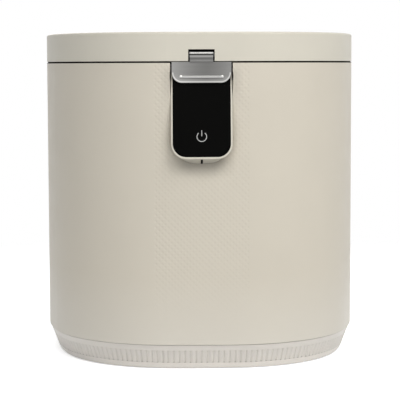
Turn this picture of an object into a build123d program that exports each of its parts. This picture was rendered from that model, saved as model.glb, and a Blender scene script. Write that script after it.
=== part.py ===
from build123d import *
import math
import os

# Countertop food waste composter: rounded housing on a ribbed skirt, hinged lid with a sheet
# metal latch, sloping touch panel, lift-out bucket with agitator, filter drawer at the rear.
# Millimetres. Z is up, the front faces -Y, +X is to the right seen from the front, and the
# origin is on the resting surface under the middle of the housing.

os.makedirs("parts", exist_ok=True)

# ---- sizes -----------------------------------------------------------------------------------
# plan outline: eight tangent arcs
front_r = 700.0          # arc across the front and the rear
side_r = 252.0           # arc along each side
corner_r = 123.0
# heights
foot_h = 3.0
skirt_low = 0.4          # lower edge of the skirt, just clear of the worktop
skirt_top = 24.0
shell_gap = 0.4          # seam between the skirt and the housing
shell_top = 291.4
lid_gap = 1.0            # seam between the housing and the lid
lid_h = 27.4
wall = 2.6
fit = 0.3                # clearance between neighbouring parts
run = 0.06               # radial running clearance of a shaft in its bore
# skirt
skirt_lip = 0.6          # how far the top of the skirt stands in from the housing
skirt_taper = 21.0       # degrees from vertical
skirt_round = 2.5        # bottom edge radius
skirt_wall = 3.0
flute_pitch = 5.4
flute_land = 0.5         # share of the pitch left flat
land_in = 0.1            # the flat lands stand in by this
flute_deep = 0.9
flute_top = 18.4
flute_low = 6.2
tongue_t = 2.0           # ring on the skirt that locates the housing
tongue_h = 7.0
ledge_in = 30.0          # inner edge of the skirt's ledge, from the housing outline
ledge_t = 3.0
# base plate, feet, screws
plate_t = 3.0
foot_r = 11.0
foot_in = 40.0
stem_r = 2.9
screw_in = 24.0
screw_r = 1.5
screw_l = 18.0
head_r = 3.2
head_h = 1.6
boss_r = 4.5
boss_top = 44.0
vent_l = 34.0
vent_w = 4.0
vent_n = 7
vent_pitch = 9.0
# drive train
gear_m = 2.5
gear_teeth = 42
pinion_teeth = 14
gear_t = 10.0
gear_thin = 0.15         # taken off each flank for backlash
shaft_r = 6.0
tray_t = 2.5
tray_h = 20.0
tray_room = 4.0          # gear tip to tray wall
cover_t = 3.5
bearing_r = 11.0
bearing_h = 12.0
motor_r = 21.0
motor_h = 32.0
motor_shaft_r = 3.0
dog_across = 15.0        # hexagon across flats on top of the drive shaft
dog_h = 9.5
# pot well, heater, insulation
well_floor = 77.0
well_t = 2.0
well_wall = 1.5
well_gap = 2.5           # bucket rim to well wall
well_flange = 6.0
deck_top = 287.8
deck_t = 3.0
heater_over = 1.0        # heater plate past the bucket's foot
heater_t = 4.2
element_r = 62.0
element_w = 9.0
element_h = 7.0
felt_t = 5.0
felt_low = 84.0
felt_top = 262.0
seal_r = 10.0
# bucket
bucket_r = 91.0
bucket_top_r = 104.0
bucket_top = 268.0
bucket_wall = 2.0
bucket_floor = 13.0      # underside of the floor above the foot ring's bottom
bucket_floor_t = 2.5
bucket_flange = 4.0
foot_ring_t = 2.5        # ring under the floor that the bucket stands on
bushing_r = 10.0
bushing_h = 6.2
breaker_l = 22.0
# bail handle
bail_wire = 1.8
bail_in = 6.5            # bail's arc inside the bucket's rim
bail_up = 5.2            # wire centre above the rim
lug_t = 2.6
lug_w = 9.0
grip_r = 4.2
grip_deg = 34.0
# agitator
hub_r = 15.0
hub_top_r = 9.0
hub_h = 66.0
arm_reach = 86.0
arm_w = 11.0
arm_h = 13.0
arm_bend = 62.0
paddle_reach = 54.0
paddle_z = 40.0
paddle_h = 12.0
paddle_w = 9.0
# rear air path
fan_side = 60.0
fan_h = 25.0
fan_in = 41.0            # fan's axis from the rear of the housing
fan_low = 88.0
fan_bore = 28.5
fan_hub = 12.0
fan_blades = 5
plenum_h = 18.0
duct_t = 1.6
duct_in = 78.0           # duct's axis from the side of the housing
duct_w = 30.0
duct_d = 24.0
duct_ahead = 17.0        # duct's axis ahead of the fan's
port_h = 16.0
port_top = 283.8
# filter drawer
sleeve_half = 59.0
sleeve_h = 130.0
sleeve_t = 2.0
sleeve_ahead = 2.0       # sleeve's front past the fan frame
drawer_t = 1.8
drawer_side_h = 96.0
cover_half = 61.0
cover_over = 2.5         # cover laps past the sleeve, above and below
grille_w = 96.0
grille_slot = 3.0
grille_pitch = 7.0
grille_n = 13
pull_half = 22.0
pull_h = 13.0
pull_deep = 15.0
cartridge_h = 96.0
cell_n = 4
# power inlet
inlet_z = 50.0
inlet_w = 27.0
inlet_h = 19.8
inlet_deep = 26.0
inlet_rim = 2.2
# lid
lid_top_t = 3.0
lid_round = 2.0
liner_low = 282.8
liner_in = 6.5           # liner's cup inside the well wall
liner_t = 2.0
liner_lift = 0.4         # liner plate above the lid's lower edge
gasket_out = 0.2         # gasket outside the well wall
gasket_w = 4.6
lid_boss_x_in = 51.0
lid_boss_y_in = 77.0
# rear hinge
hinge_out = 7.2          # axis behind the housing
hinge_up = 7.4           # axis above the housing's top edge
hinge_r = 6.3
hinge_pin_r = 2.5
knuckle_half = 34.5
lug_len = 20.0
lug_drop = 34.0
# latch
latch_w = 55.8
latch_top = 291.7
latch_low = 272.2
latch_t = 1.5
latch_proud = 0.6
latch_corner = 9.7
strap_w = 21.9
barrel_r = 3.0
latch_up = 7.1           # pin axis above the housing's top edge
latch_pin_r = 1.5
notch_w = 24.7
notch_top = 303.4
bead_l = 38.8
bead_z = 278.1
bead_r = 1.5
keeper_half = 12.0
# touch panel pod
pod_w = 57.8
pod_low = 201.7          # lower edge of the front rim
pod_top = 281.1
pod_tilt = 11.0          # degrees
pod_flush_z = 262.8      # where the sloping face meets the housing's surface
pod_corner = 14.5
pod_under = 0.225        # extra slope of the underside
pod_waist = 12.0         # over this depth the pod draws in
pod_draw = 2.0           # each side draws in by this
pod_sweep = 6.5          # and its lower corners grow by this
pod_room = 14.0          # the pod's body runs this far behind the front
pod_rim = 1.7
pod_flange = 4.0
glass_t = 2.0
glass_top = 280.3
seat_half = 14.0         # seat of the latch keeper between the glass's two upper ends
seat_low = 274.3
board_t = 1.6
board_room = 3.6
slot_w = 1.9
slot_deep = 6.0
pocket_half = 29.3
pocket_low = 281.4
# lid switch and control board
switch_out = 72.0        # lid switch from the middle
switch_in = 49.0         # and from the rear
plunger_r = 2.5
plunger_l = 14.0
pcb_in = 63.0            # control board's middle from the side
pcb_back = 20.0          # and behind the bucket's axis
pcb_w = 56.0
pcb_l = 104.0
pcb_up = 12.0

# room around the inner parts, which sets the size of the housing
front_room = 19.7        # insulation to the housing's front
side_room = 39.8         # insulation to the housing's side
rear_gap = 2.7           # insulation to the filter sleeve
rear_wall = 13.0         # rear of the housing past the fan frame

# ---- sizes that follow ------------------------------------------------------------------------
well_r = bucket_top_r + bucket_flange + well_gap
well_out = well_r + well_wall
felt_in = well_out + fit
felt_out = felt_in + felt_t
half_width = felt_out + side_room
half_depth = (front_room + 2 * felt_out + rear_gap + fan_side + rear_wall) / 2
pot_y = front_room + felt_out - half_depth
fan_y = half_depth - fan_in
sleeve_front = fan_y - fan_side / 2 - sleeve_ahead
heater_r = bucket_r + heater_over
bail_r = bucket_top_r - bail_in
liner_r = well_r - liner_in
gasket_r = well_out + gasket_out
duct_x, duct_y = half_width - duct_in, fan_y - duct_ahead
pod_back = pod_room - half_depth
switch_x, switch_y = -switch_out, half_depth - switch_in
pcb_x, pcb_y = pcb_in - half_width, pot_y + pcb_back
lid_boss_x, lid_boss_y = half_width - lid_boss_x_in, half_depth - lid_boss_y_in
plate_low = foot_h
plate_top = plate_low + plate_t
shell_low = skirt_top + shell_gap
lid_low = shell_top + lid_gap
lid_top = lid_low + lid_h
deck_low = deck_top - deck_t
hinge_y = half_depth + hinge_out
hinge_z = shell_top + hinge_up
latch_y = -(half_depth + latch_proud) + barrel_r
latch_z = shell_top + latch_up
gear_r = gear_m * gear_teeth / 2
pinion_r = gear_m * pinion_teeth / 2
motor_y = pot_y + gear_r + pinion_r
tray_top = plate_top + tray_h
cover_top = tray_top + cover_t
well_in = well_floor + well_t
bucket_low = well_in + fit
floor_under = bucket_low + bucket_floor
floor_in = floor_under + bucket_floor_t
dog_top = floor_under - 2.0
sleeve_low = fan_low + fan_h
sleeve_top = sleeve_low + sleeve_h
slope = math.tan(math.radians(skirt_taper))


def corner_centre():
    """Centre of the rear right corner arc, tangent to the rear arc and to the side arc."""
    fx, fy, to_f = 0.0, half_depth - front_r, front_r - corner_r
    sx, sy, to_s = half_width - side_r, 0.0, side_r - corner_r
    d = math.hypot(sx - fx, sy - fy)
    ux, uy = (sx - fx) / d, (sy - fy) / d
    along = (to_f ** 2 - to_s ** 2 + d ** 2) / (2 * d)
    off = math.sqrt(to_f ** 2 - along ** 2)
    return max(((fx + along * ux + s * off * uy, fy + along * uy - s * off * ux) for s in (-1, 1)),
               key=lambda p: p[0])


corner_x, corner_y = corner_centre()
front_c = front_r - half_depth            # the front arc's centre, in y


def outline(inset):
    """Face of the plan outline, drawn in by inset."""
    a1 = math.atan2(corner_y + front_c, corner_x)
    a2 = math.atan2(corner_y, corner_x - (half_width - side_r))
    mid = (a1 + a2) / 2
    t1 = ((front_r - inset) * math.cos(a1), (front_r - inset) * math.sin(a1) - front_c)
    t2 = (half_width - side_r + (side_r - inset) * math.cos(a2), (side_r - inset) * math.sin(a2))
    m = (corner_x + (corner_r - inset) * math.cos(mid), corner_y + (corner_r - inset) * math.sin(mid))
    end, side = half_depth - inset, half_width - inset

    def at(p, sx, sy):
        return (p[0] * sx, p[1] * sy)

    return make_face([
        ThreePointArc(at(t1, -1, 1), (0, end), t1),
        ThreePointArc(t1, m, t2),
        ThreePointArc(t2, (side, 0), at(t2, 1, -1)),
        ThreePointArc(at(t2, 1, -1), at(m, 1, -1), at(t1, 1, -1)),
        ThreePointArc(at(t1, 1, -1), (0, -end), at(t1, -1, -1)),
        ThreePointArc(at(t1, -1, -1), at(m, -1, -1), at(t2, -1, -1)),
        ThreePointArc(at(t2, -1, -1), (-side, 0), at(t2, -1, 1)),
        ThreePointArc(at(t2, -1, 1), at(m, -1, 1), at(t1, -1, 1)),
    ])


def slab(inset, low, top):
    """Plate of the plan outline from one height to another."""
    return Pos(0, 0, low) * extrude(outline(inset), top - low)


def ring(inset, thick, low, top):
    return slab(inset, low, top) - slab(inset + thick, low - 1, top + 1)


def stack(sections):
    """Solid through plan outlines given as (inset, height)."""
    return loft([Pos(0, 0, z) * outline(i) for i, z in sections], ruled=True)


def block(x0, x1, y0, y1, z0, z1):
    return Pos((x0 + x1) / 2, (y0 + y1) / 2, (z0 + z1) / 2) * Box(x1 - x0, y1 - y0, z1 - z0)


def rod(r, low, top, x=0.0, y=0.0):
    return Pos(x, y, (low + top) / 2) * Cylinder(r, top - low)


def peg(r, low, top, x=0.0, y=0.0, sides=12):
    """Small post with flats."""
    return Pos(x, y, low) * extrude(RegularPolygon(r, sides), top - low)


def bore(r, low, top, x=0.0, y=0.0, sides=12):
    """Small hole with flats that clears a round post of radius r."""
    return Pos(x, y, low) * extrude(RegularPolygon(r, sides, major_radius=False), top - low)


def cross_rod(r, x0, x1, y, z):
    return Pos((x0 + x1) / 2, y, z) * Rot(0, 90, 0) * Cylinder(r, x1 - x0)


def turned(points):
    """Solid of revolution about the bucket's axis from (radius, height) points."""
    return Pos(0, pot_y, 0) * revolve(Plane.XZ * make_face(Polyline(*points, close=True)), Axis.Z)


def side_profile(points, x0, x1):
    """Extrusion along X of a closed (y, z) outline."""
    return Pos(x0, 0, 0) * extrude(Plane.YZ * make_face(Polyline(*points, close=True)), x1 - x0)


def front_at(x, inset=0.0):
    """y of the housing's front surface at x."""
    return front_c - math.sqrt((front_r - inset) ** 2 - x ** 2)


def skirt_inset(z):
    """How far the skirt's straight flank stands in at a height."""
    return skirt_lip + (skirt_top - z) * slope


def save(shape, name):
    shape.label = name
    export_step(shape, "parts/" + name + ".step")


# places along the corners and at the sides
def corners(inset):
    k = (corner_r - inset) * math.sqrt(0.5)
    return [(sx * (corner_x + k), sy * (corner_y + k)) for sx in (-1, 1) for sy in (-1, 1)]


screw_at = corners(screw_in) + [(-half_width + screw_in, 0), (half_width - screw_in, 0)]
foot_at = corners(foot_in)

# ---- skirt: fluted ring with a rounded foot, a ledge for the base plate and a locating tongue ---
turn = math.radians(skirt_taper)
round_top = skirt_low + skirt_round * (1 - math.sin(turn))
sections = [(skirt_inset(skirt_top), skirt_top), (skirt_inset(round_top), round_top)]
for k in (1, 2, 3):
    a = turn + (math.pi / 2 - turn) * k / 3
    sections.append((skirt_inset(round_top) + skirt_round * (math.cos(turn) - math.cos(a)),
                     skirt_low + skirt_round * (1 - math.sin(a))))
skirt_foot = sections[-1][0]
plate_in = skirt_foot + skirt_wall
ledge_top = plate_top + ledge_t
base_skirt = stack(sections[::-1])
base_skirt -= slab(plate_in, skirt_low - 1, plate_top)
base_skirt -= slab(ledge_in, plate_top - 0.5, ledge_top)
inner_top = skirt_inset(skirt_top) + skirt_wall
base_skirt -= stack([(skirt_inset(ledge_top) + skirt_wall, ledge_top), (inner_top, skirt_top),
                     (inner_top, skirt_top + 1)])
tongue_low = skirt_top - 4.0
base_skirt += ring(wall + fit, tongue_t, tongue_low, skirt_top + tongue_h)
base_skirt -= [bore(screw_r + 0.1, plate_top - 1, ledge_top + 1, x, y) for x, y in screw_at]

track = outline(0).face().outer_wire()
flutes = round(track.length / flute_pitch)


def notched(z):
    """Outline of the fluted band at a height: a flat land and a V groove per flute."""
    pts = []
    for k in range(flutes):
        for share, deep in ((0, land_in), (flute_land, land_in), ((1 + flute_land) / 2, flute_deep)):
            p, t = track.position_at((k + share) / flutes), track.tangent_at((k + share) / flutes)
            out = Vector(t.Y, -t.X, 0)
            if out.dot(p) < 0:
                out = -out
            p = p - out * (skirt_inset(z) + deep)
            pts.append((p.X, p.Y))
    return Pos(0, 0, z) * make_face(Polyline(*pts, close=True))


band = slab(-2, flute_low, flute_top) - loft([notched(flute_low - 0.5), notched(flute_top + 0.5)], ruled=True)
base_skirt -= band
save(base_skirt, "base_skirt")

# ---- base plate with cooling slots, board posts and screw seats; feet and screws -----------------
base_plate = slab(plate_in + fit, plate_low, plate_top)
base_plate -= [bore(screw_r + 0.1, plate_low - 1, plate_top + 1, x, y) for x, y in screw_at]
base_plate -= [bore(head_r + fit, plate_low - 1, plate_low + head_h + fit, x, y) for x, y in screw_at]
base_plate -= [bore(stem_r + 0.1, plate_low - 1, plate_top + 1, x, y) for x, y in foot_at]
vents = []
for k in range(vent_n):
    y = pot_y + (k - (vent_n - 1) / 2) * vent_pitch
    vents.append(Pos(half_width * 0.62, y, plate_low) * Box(vent_l, vent_w, 4 * plate_t))
base_plate -= vents
post_at = [(pcb_x + sx * (pcb_w / 2 - 6), pcb_y + sy * (pcb_l / 2 - 5))
           for sx in (-1, 1) for sy in (-1, 1)]
base_plate += [peg(3.5, plate_top - 0.5, plate_top + pcb_up, x, y) for x, y in post_at]
save(base_plate, "base_plate")

save(Compound([peg(foot_r, 0, foot_h, x, y, 20) + peg(stem_r, foot_h - 0.5, plate_top, x, y)
               for x, y in foot_at]), "rubber_feet")
head_low = plate_low + fit
socket = RegularPolygon(1.5, 6)
save(Compound([peg(head_r, head_low, head_low + head_h, x, y) - Pos(x, y, head_low - 1) * extrude(socket, 2)
               + peg(screw_r, head_low + head_h - 0.2, head_low + screw_l, x, y, 8) for x, y in screw_at]),
     "base_screws")

# ---- sloping touch panel pod -------------------------------------------------------------------
tilt = math.radians(pod_tilt)
pod_half = pod_w / 2
pod_y = front_at(pod_half) - (pod_flush_z - pod_low) * math.tan(tilt)
pod_len = (pod_top + 4 - pod_low) / math.cos(tilt)
pod_deep = (pod_back - pod_y) / math.cos(tilt) + 16.0
pod_flush_lead = 12.0     # the opening runs this far ahead of the sloping face
pod_plane = Plane(origin=(0, pod_y, pod_low), x_dir=(1, 0, 0), z_dir=(0, -math.cos(tilt), math.sin(tilt)))


def tongue(half, low, top, r):
    """Flat tongue with two round lower corners."""
    s = r * (1 - math.sqrt(0.5))
    return make_face([
        Line((half, top), (-half, top)),
        Line((-half, top), (-half, low + r)),
        ThreePointArc((-half, low + r), (-half + s, low + s), (-half + r, low)),
        Line((-half + r, low), (half - r, low)),
        ThreePointArc((half - r, low), (half - s, low + s), (half, low + r)),
        Line((half, low + r), (half, top)),
    ])


def pod_block(grow, lead, top):
    """Pod body from lead ahead of its sloping face back into the housing, drawn in over its waist."""
    def end(w, k):
        return Pos(0, 0, w) * tongue(pod_half + grow - pod_draw * k, pod_under * w - grow, top,
                                     pod_corner + grow + pod_sweep * k)
    return pod_plane * loft([end(-pod_deep, 1), end(-pod_waist, 1), end(lead, -lead / pod_waist)], ruled=True)


pod_bezel = pod_block(0, 0, pod_len)
pod_bezel &= block(-pod_half - 9, pod_half + 9, pod_y - 30, pod_back, pod_low - 40, pod_top)
front_rim = [e for e in pod_bezel.edges() if abs(pod_plane.to_local_coords(e.center()).Z) < 0.01
             and pod_plane.to_local_coords(e.center()).Y < pod_len - 8]
pod_bezel = fillet(front_rim, 0.8)
flange_y = front_at(pod_half + pod_flange, wall) + fit
pod_bezel += block(-pod_half - pod_flange, pod_half + pod_flange, flange_y, flange_y + 2,
                   pod_low - 14, seat_low)
glass_len = (glass_top - pod_low) / math.cos(tilt)
seat_len = (seat_low - pod_low) / math.cos(tilt)


def seat(grow):
    """Notch between the two upper ends of the glass."""
    h = glass_len - seat_len
    return Pos(0, seat_len - grow + h) * Rectangle(2 * (seat_half + grow), 2 * h)


glass_face = tongue(pod_half - pod_rim, pod_rim, glass_len, pod_corner - pod_rim) - seat(0)
pod_bezel -= pod_plane * Pos(0, 0, -glass_t) * extrude(glass_face, glass_t + 1)
room_face = tongue(pod_half - pod_rim - 3, pod_rim + 4, seat_len - 4, pod_corner - pod_rim - 3)
pod_bezel -= pod_plane * Pos(0, 0, -glass_t - board_room) * extrude(room_face, board_room + 0.5)
slot_y = pod_y + 4.6
pod_bezel -= block(-slot_w / 2, slot_w / 2, pod_y + 1.6, front_at(0) - 0.3, pod_low - 12,
                   pod_low - 12 + 12 - (slot_y - pod_y) * 0.44 + slot_deep)
save(pod_bezel, "pod_bezel")

glass = tongue(pod_half - pod_rim - 0.12, pod_rim + 0.12, glass_len - 0.12, pod_corner - pod_rim - 0.12) \
    - seat(0.12)
save(pod_plane * Pos(0, 0, -glass_t) * extrude(glass, glass_t - 0.1), "pod_glass")
board_edge = pod_rim + 3 + fit
board = tongue(pod_half - board_edge, board_edge + 1, seat_len - 4 - fit, pod_corner - board_edge)
display_board = pod_plane * Pos(0, 0, -glass_t - board_room) * extrude(board, board_t)
display_board += pod_plane * Pos(0, seat_len * 0.55, -glass_t - board_room + board_t + 0.6) * Box(30, 34, 1.4)
save(display_board, "display_board")

# ---- housing shell -------------------------------------------------------------------------------
body_shell = ring(0, wall, shell_low, shell_top)
body_shell += ring(wall - 0.5, 3.5, deck_low - 3.5, deck_low)            # ledge under the deck
for x, y in screw_at:
    post = peg(boss_r, ledge_top, boss_top, x, y)
    web_low = skirt_top + tongue_h + fit
    web = Pos(0, 0, (web_low + boss_top) / 2) * Rot(0, 0, math.degrees(math.atan2(y, x))) \
        * Pos(math.hypot(x, y) + screw_in / 2, 0, 0) * Box(screw_in, 2.4, boss_top - web_low)
    body_shell += post + (web & slab(wall - 0.5, shell_low, shell_top))
    body_shell -= bore(screw_r + 0.1, ledge_top - 1, head_low + screw_l + 2, x, y)
# hinge lugs stand out behind the rear wall
arm = hinge_r - 0.2
for s in (-1, 1):
    x0 = s * (knuckle_half + 0.6) if s > 0 else -(knuckle_half + 0.6 + lug_len)
    lug = side_profile([(hinge_y + hinge_r, hinge_z), (hinge_y + hinge_r, shell_top - 6),
                        (half_depth - 6, shell_top - lug_drop), (half_depth - 10, shell_top - lug_drop),
                        (half_depth - 10, shell_top - 0.6), (hinge_y - arm, shell_top - 0.6),
                        (hinge_y - arm, hinge_z)], x0, x0 + lug_len)
    lug += cross_rod(hinge_r, x0, x0 + lug_len, hinge_y, hinge_z)
    body_shell += lug - slab(wall - 0.3, shell_low, shell_top + 1)
    body_shell -= cross_rod(hinge_pin_r, x0 - 1, x0 + lug_len + 1, hinge_y, hinge_z)
# pod opening, its shadow gap at the sides, and the pocket behind the latch plate
body_shell -= pod_block(0.2, pod_flush_lead, pod_len) \
    & block(-pod_w, pod_w, -half_depth - 1, pod_back, 0, pocket_low + 1)
body_shell -= block(-pocket_half, pocket_half, -half_depth - 5, pod_back + 1, pocket_low, shell_top + 5)
for s in (-1, 1):
    in_x, out_x = s * (pod_half - 0.5), s * (pocket_half + 0.5)
    wedge = make_face(Polyline((in_x, pocket_low - 2), (out_x, pocket_low - 2),
                               (s * (pod_half + 0.2), pod_flush_z - 1), (in_x, pod_flush_z - 1), close=True))
    body_shell -= Pos(0, pod_back, 0) * extrude(Plane.XZ * wedge, 30)
flange_room = block(-pod_half - pod_flange - fit, pod_half + pod_flange + fit, flange_y - 0.1, pod_back + 1,
                    pod_low - 14 - fit, pod_top + 1)
body_shell -= flange_room
# drawer opening and inlet opening at the rear
body_shell -= block(-cover_half, cover_half, half_depth - 30, half_depth + 5,
                    sleeve_low - cover_over, sleeve_top + cover_over)
body_shell -= block(-inlet_w / 2 - 0.1, inlet_w / 2 + 0.1, half_depth - 30, half_depth + 5,
                    inlet_z - inlet_h / 2 - 0.1, inlet_z + inlet_h / 2 + 0.1)
save(body_shell, "body_shell")

# ---- deck, pot well, heater, insulation, shaft seal ----------------------------------------------
deck_hole = well_r + well_wall + fit
top_deck = slab(wall + fit, deck_low, deck_top)
top_deck += turned([(deck_hole - 1, deck_low - 8), (deck_hole + 2, deck_low - 8), (deck_hole + 2, deck_top),
                    (deck_hole - 1, deck_top)])
top_deck -= rod(deck_hole, deck_low - 20, deck_top + 1, 0, pot_y)
top_deck -= block(-pocket_half - 6, pocket_half + 6, -half_depth, pod_back + 1, deck_low - 20, deck_top + 1)
top_deck -= rod(plunger_r + run, deck_low - 1, deck_top + 1, switch_x, switch_y)
port = block(duct_x - duct_w / 2, duct_x + duct_w / 2, pot_y, duct_y + duct_d / 2,
             port_top - port_h, port_top)
top_deck -= port
save(top_deck, "top_deck")

pot_well = turned([(seal_r, well_floor), (well_out, well_floor), (well_out, deck_top),
                   (well_out + well_flange, deck_top), (well_out + well_flange, deck_top + well_wall),
                   (well_r, deck_top + well_wall), (well_r, well_in), (seal_r, well_in)])
mouth = block(duct_x - duct_w / 2 + duct_t, duct_x + duct_w / 2 - duct_t, pot_y, duct_y,
              port_top - port_h + duct_t, port_top - duct_t)
pot_well -= mouth
save(pot_well, "pot_well")

heater_low = well_floor - heater_t
element_out = element_r + element_w
save(turned([(seal_r * 2, heater_low), (element_r, heater_low), (element_r, heater_low - element_h),
             (element_out, heater_low - element_h), (element_out, heater_low), (heater_r, heater_low),
             (heater_r, well_floor), (seal_r * 2, well_floor)]), "heater_plate")
felt = turned([(felt_in, felt_low), (felt_out, felt_low), (felt_out, felt_top), (felt_in, felt_top)])
save(felt, "insulation_jacket")
save(turned([(shaft_r + run, well_floor - 1), (seal_r, well_floor - 1), (seal_r, well_in),
             (shaft_r + run, well_in)]), "shaft_seal")

# ---- bucket with foot ring, breakers and handle lugs ---------------------------------------------
lean = (bucket_top_r - bucket_r) / (bucket_top - bucket_low)


def bucket_out(z):
    return bucket_r + (z - bucket_low) * lean


rim_low = bucket_top - 1.8
inner = bucket_out(floor_in) - bucket_wall
bucket = turned([(bushing_r, floor_under), (bucket_out(floor_under), floor_under),
                 (bucket_out(rim_low), rim_low), (bucket_top_r + bucket_flange, rim_low),
                 (bucket_top_r + bucket_flange, bucket_top), (bucket_top_r - bucket_wall, bucket_top),
                 (bucket_out(floor_in + 6) - bucket_wall, floor_in + 6), (inner - 5, floor_in),
                 (bushing_r + 6, floor_in), (bushing_r + 6, floor_under + bushing_h),
                 (bushing_r, floor_under + bushing_h)])
breaker_low = floor_in + arm_h + 8
for s in (-1, 1):
    fin = make_face(Polyline((s * (bucket_out(breaker_low) - 1), breaker_low),
                             (s * (bucket_out(breaker_low) - breaker_l), breaker_low + 8),
                             (s * (bucket_out(breaker_low) - breaker_l), breaker_low + 22),
                             (s * (bucket_out(breaker_low + 60) - 1), breaker_low + 60), close=True))
    bucket += Pos(0, pot_y + 2.5, 0) * extrude(Plane.XZ * fin, 5)
lug_x = bucket_top_r + bucket_flange - lug_t
bail_z = bucket_top + bail_up
for s in (-1, 1):
    x0 = s * lug_x if s > 0 else -lug_x - lug_t
    ear = block(x0, x0 + lug_t, pot_y - lug_w / 2, pot_y + lug_w / 2, rim_low, bail_z)
    ear += cross_rod(lug_w / 2, x0, x0 + lug_t, pot_y, bail_z)
    ear -= cross_rod(bail_wire + run, x0 - 1, x0 + lug_t + 1, pot_y, bail_z)
    bucket += ear & rod(bucket_top_r + bucket_flange, rim_low, bail_z + 20, 0, pot_y)
save(bucket, "bucket")
foot_in_r = bucket_r - foot_ring_t
save(turned([(foot_in_r, bucket_low), (bucket_r, bucket_low), (bucket_out(floor_under), floor_under),
             (foot_in_r, floor_under)]), "bucket_foot_ring")
save(turned([(shaft_r + run, floor_under), (bushing_r, floor_under), (bushing_r, floor_under + bushing_h),
             (shaft_r + run, floor_under + bushing_h)]), "bucket_bushing")

# ---- bail handle: half ring of wire folded to the front, with a grip -----------------------------
wire_ring = Plane.XZ * Pos(bail_r, 0) * Rectangle(2 * bail_wire, 2 * bail_wire)
bail = revolve(wire_ring, Axis.Z, 180).rotate(Axis.Z, 180)
pivot_in, pivot_out = bail_r - 0.3, lug_x + lug_t + 0.3
bail += [cross_rod(bail_wire, min(s * pivot_in, s * pivot_out), max(s * pivot_in, s * pivot_out), 0, 0)
         for s in (-1, 1)]
if bail.bounding_box().center().Y > 0:
    bail = bail.rotate(Axis.Z, 180)
save(Pos(0, pot_y, bail_z) * bail, "bail")
grip_ring = Plane.XZ * Pos(bail_r, 0) * (RegularPolygon(grip_r, 8) - Rectangle(2 * bail_wire, 2 * bail_wire))
grip = revolve(grip_ring, Axis.Z, grip_deg).rotate(Axis.Z, -90 - grip_deg / 2)
if grip.bounding_box().center().Y > 0:
    grip = grip.rotate(Axis.Z, 180)
save(Pos(0, pot_y, bail_z) * grip, "bail_grip")

# ---- agitator: hub, two bent sweeping arms, two upper paddles, dog hub below the bucket floor ----
hub_low = floor_under + bushing_h + fit
agitator = turned([(0, hub_low), (hub_r, hub_low), (hub_r, hub_low + 16), (hub_top_r, hub_low + hub_h - 6),
                   (hub_top_r - 4, hub_low + hub_h), (0, hub_low + hub_h)])
for k in range(2):
    bend = Edge.make_three_point_arc(Vector(4, 0), Vector(arm_reach * 0.52, arm_bend * 0.22),
                                     Vector(arm_reach - arm_w / 2, 0))
    sweep_arm = extrude(SlotArc(bend, arm_w), arm_h, taper=9)
    agitator += Pos(0, pot_y, hub_low) * Rot(0, 0, 180 * k) * sweep_arm
    bend = Edge.make_three_point_arc(Vector(2, 0), Vector(paddle_reach * 0.5, -7),
                                     Vector(paddle_reach - paddle_w / 2, 0))
    agitator += Pos(0, pot_y, hub_low + paddle_z) * Rot(0, 0, 90 + 180 * k) * extrude(SlotArc(bend, paddle_w),
                                                                                     paddle_h, taper=8)
agitator += rod(shaft_r, floor_under - fit, hub_low + 1, 0, pot_y)
save(agitator, "agitator")
dog_low = dog_top - dog_h
socket = Pos(0, pot_y, dog_low) * extrude(RegularPolygon((dog_across / 2 + fit), 6, major_radius=False),
                                          dog_h + fit)
hub_dog = rod(hub_r, dog_low + 1.5, floor_under - fit, 0, pot_y) - socket
save(hub_dog, "agitator_dog")

# ---- drive: shaft with hexagonal dog, large gear, motor pinion, gearbox tray and cover, motor ----
shaft_low = plate_top + fit
drive_shaft = rod(shaft_r, shaft_low, dog_low + 0.5, 0, pot_y)
drive_shaft += Pos(0, pot_y, dog_low) * extrude(RegularPolygon(dog_across / 2, 6, major_radius=False), dog_h)
save(drive_shaft, "drive_shaft")


def spur(teeth, phase):
    """Spur gear outline with involute flanks, one tooth centred on the phase angle in degrees."""
    pitch_r = gear_m * teeth / 2
    base_r = pitch_r * math.cos(math.radians(20))
    tip_r, root_r = pitch_r + 0.85 * gear_m, pitch_r - 1.15 * gear_m

    def inv(r):
        a = math.acos(min(1.0, base_r / r))
        return math.tan(a) - a

    half = math.pi / 2 / teeth + inv(pitch_r) - gear_thin / pitch_r
    low = max(base_r, root_r)
    flank = [(low + (tip_r - low) * k / 2, half - inv(low + (tip_r - low) * k / 2)) for k in range(3)]
    if root_r < base_r:
        flank.insert(0, (root_r, half))
    pts = []
    for k in range(teeth):
        mid_a = math.radians(phase) + 2 * math.pi * k / teeth
        pts += [(r * math.cos(mid_a - a), r * math.sin(mid_a - a)) for r, a in flank]
        pts += [(r * math.cos(mid_a + a), r * math.sin(mid_a + a)) for r, a in flank[::-1]]
    return make_face(Polyline(*pts, close=True))


gear_low = plate_top + tray_t + 2.5
gear = Pos(0, pot_y, gear_low) * extrude(spur(gear_teeth, 90), gear_t)
gear += rod(shaft_r * 2, gear_low - 1.5, gear_low + gear_t + 1.5, 0, pot_y)
gear -= rod(shaft_r + 0.02, gear_low - 5, gear_low + gear_t + 5, 0, pot_y)
spoke_r = (gear_r + shaft_r * 2) / 2
gear -= [peg(gear_r * 0.21, gear_low - 1, gear_low + gear_t + 1, spoke_r * math.cos(math.radians(60 * k)),
             pot_y + spoke_r * math.sin(math.radians(60 * k))) for k in range(6)]
save(gear, "drive_gear")
pinion = Pos(0, motor_y, gear_low - 0.5) * extrude(spur(pinion_teeth, -90 + 180 / pinion_teeth), gear_t + 1)
pinion += rod(motor_shaft_r, gear_low + gear_t, tray_top + cover_t - 0.2, 0, motor_y)
save(pinion, "motor_pinion")

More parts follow.
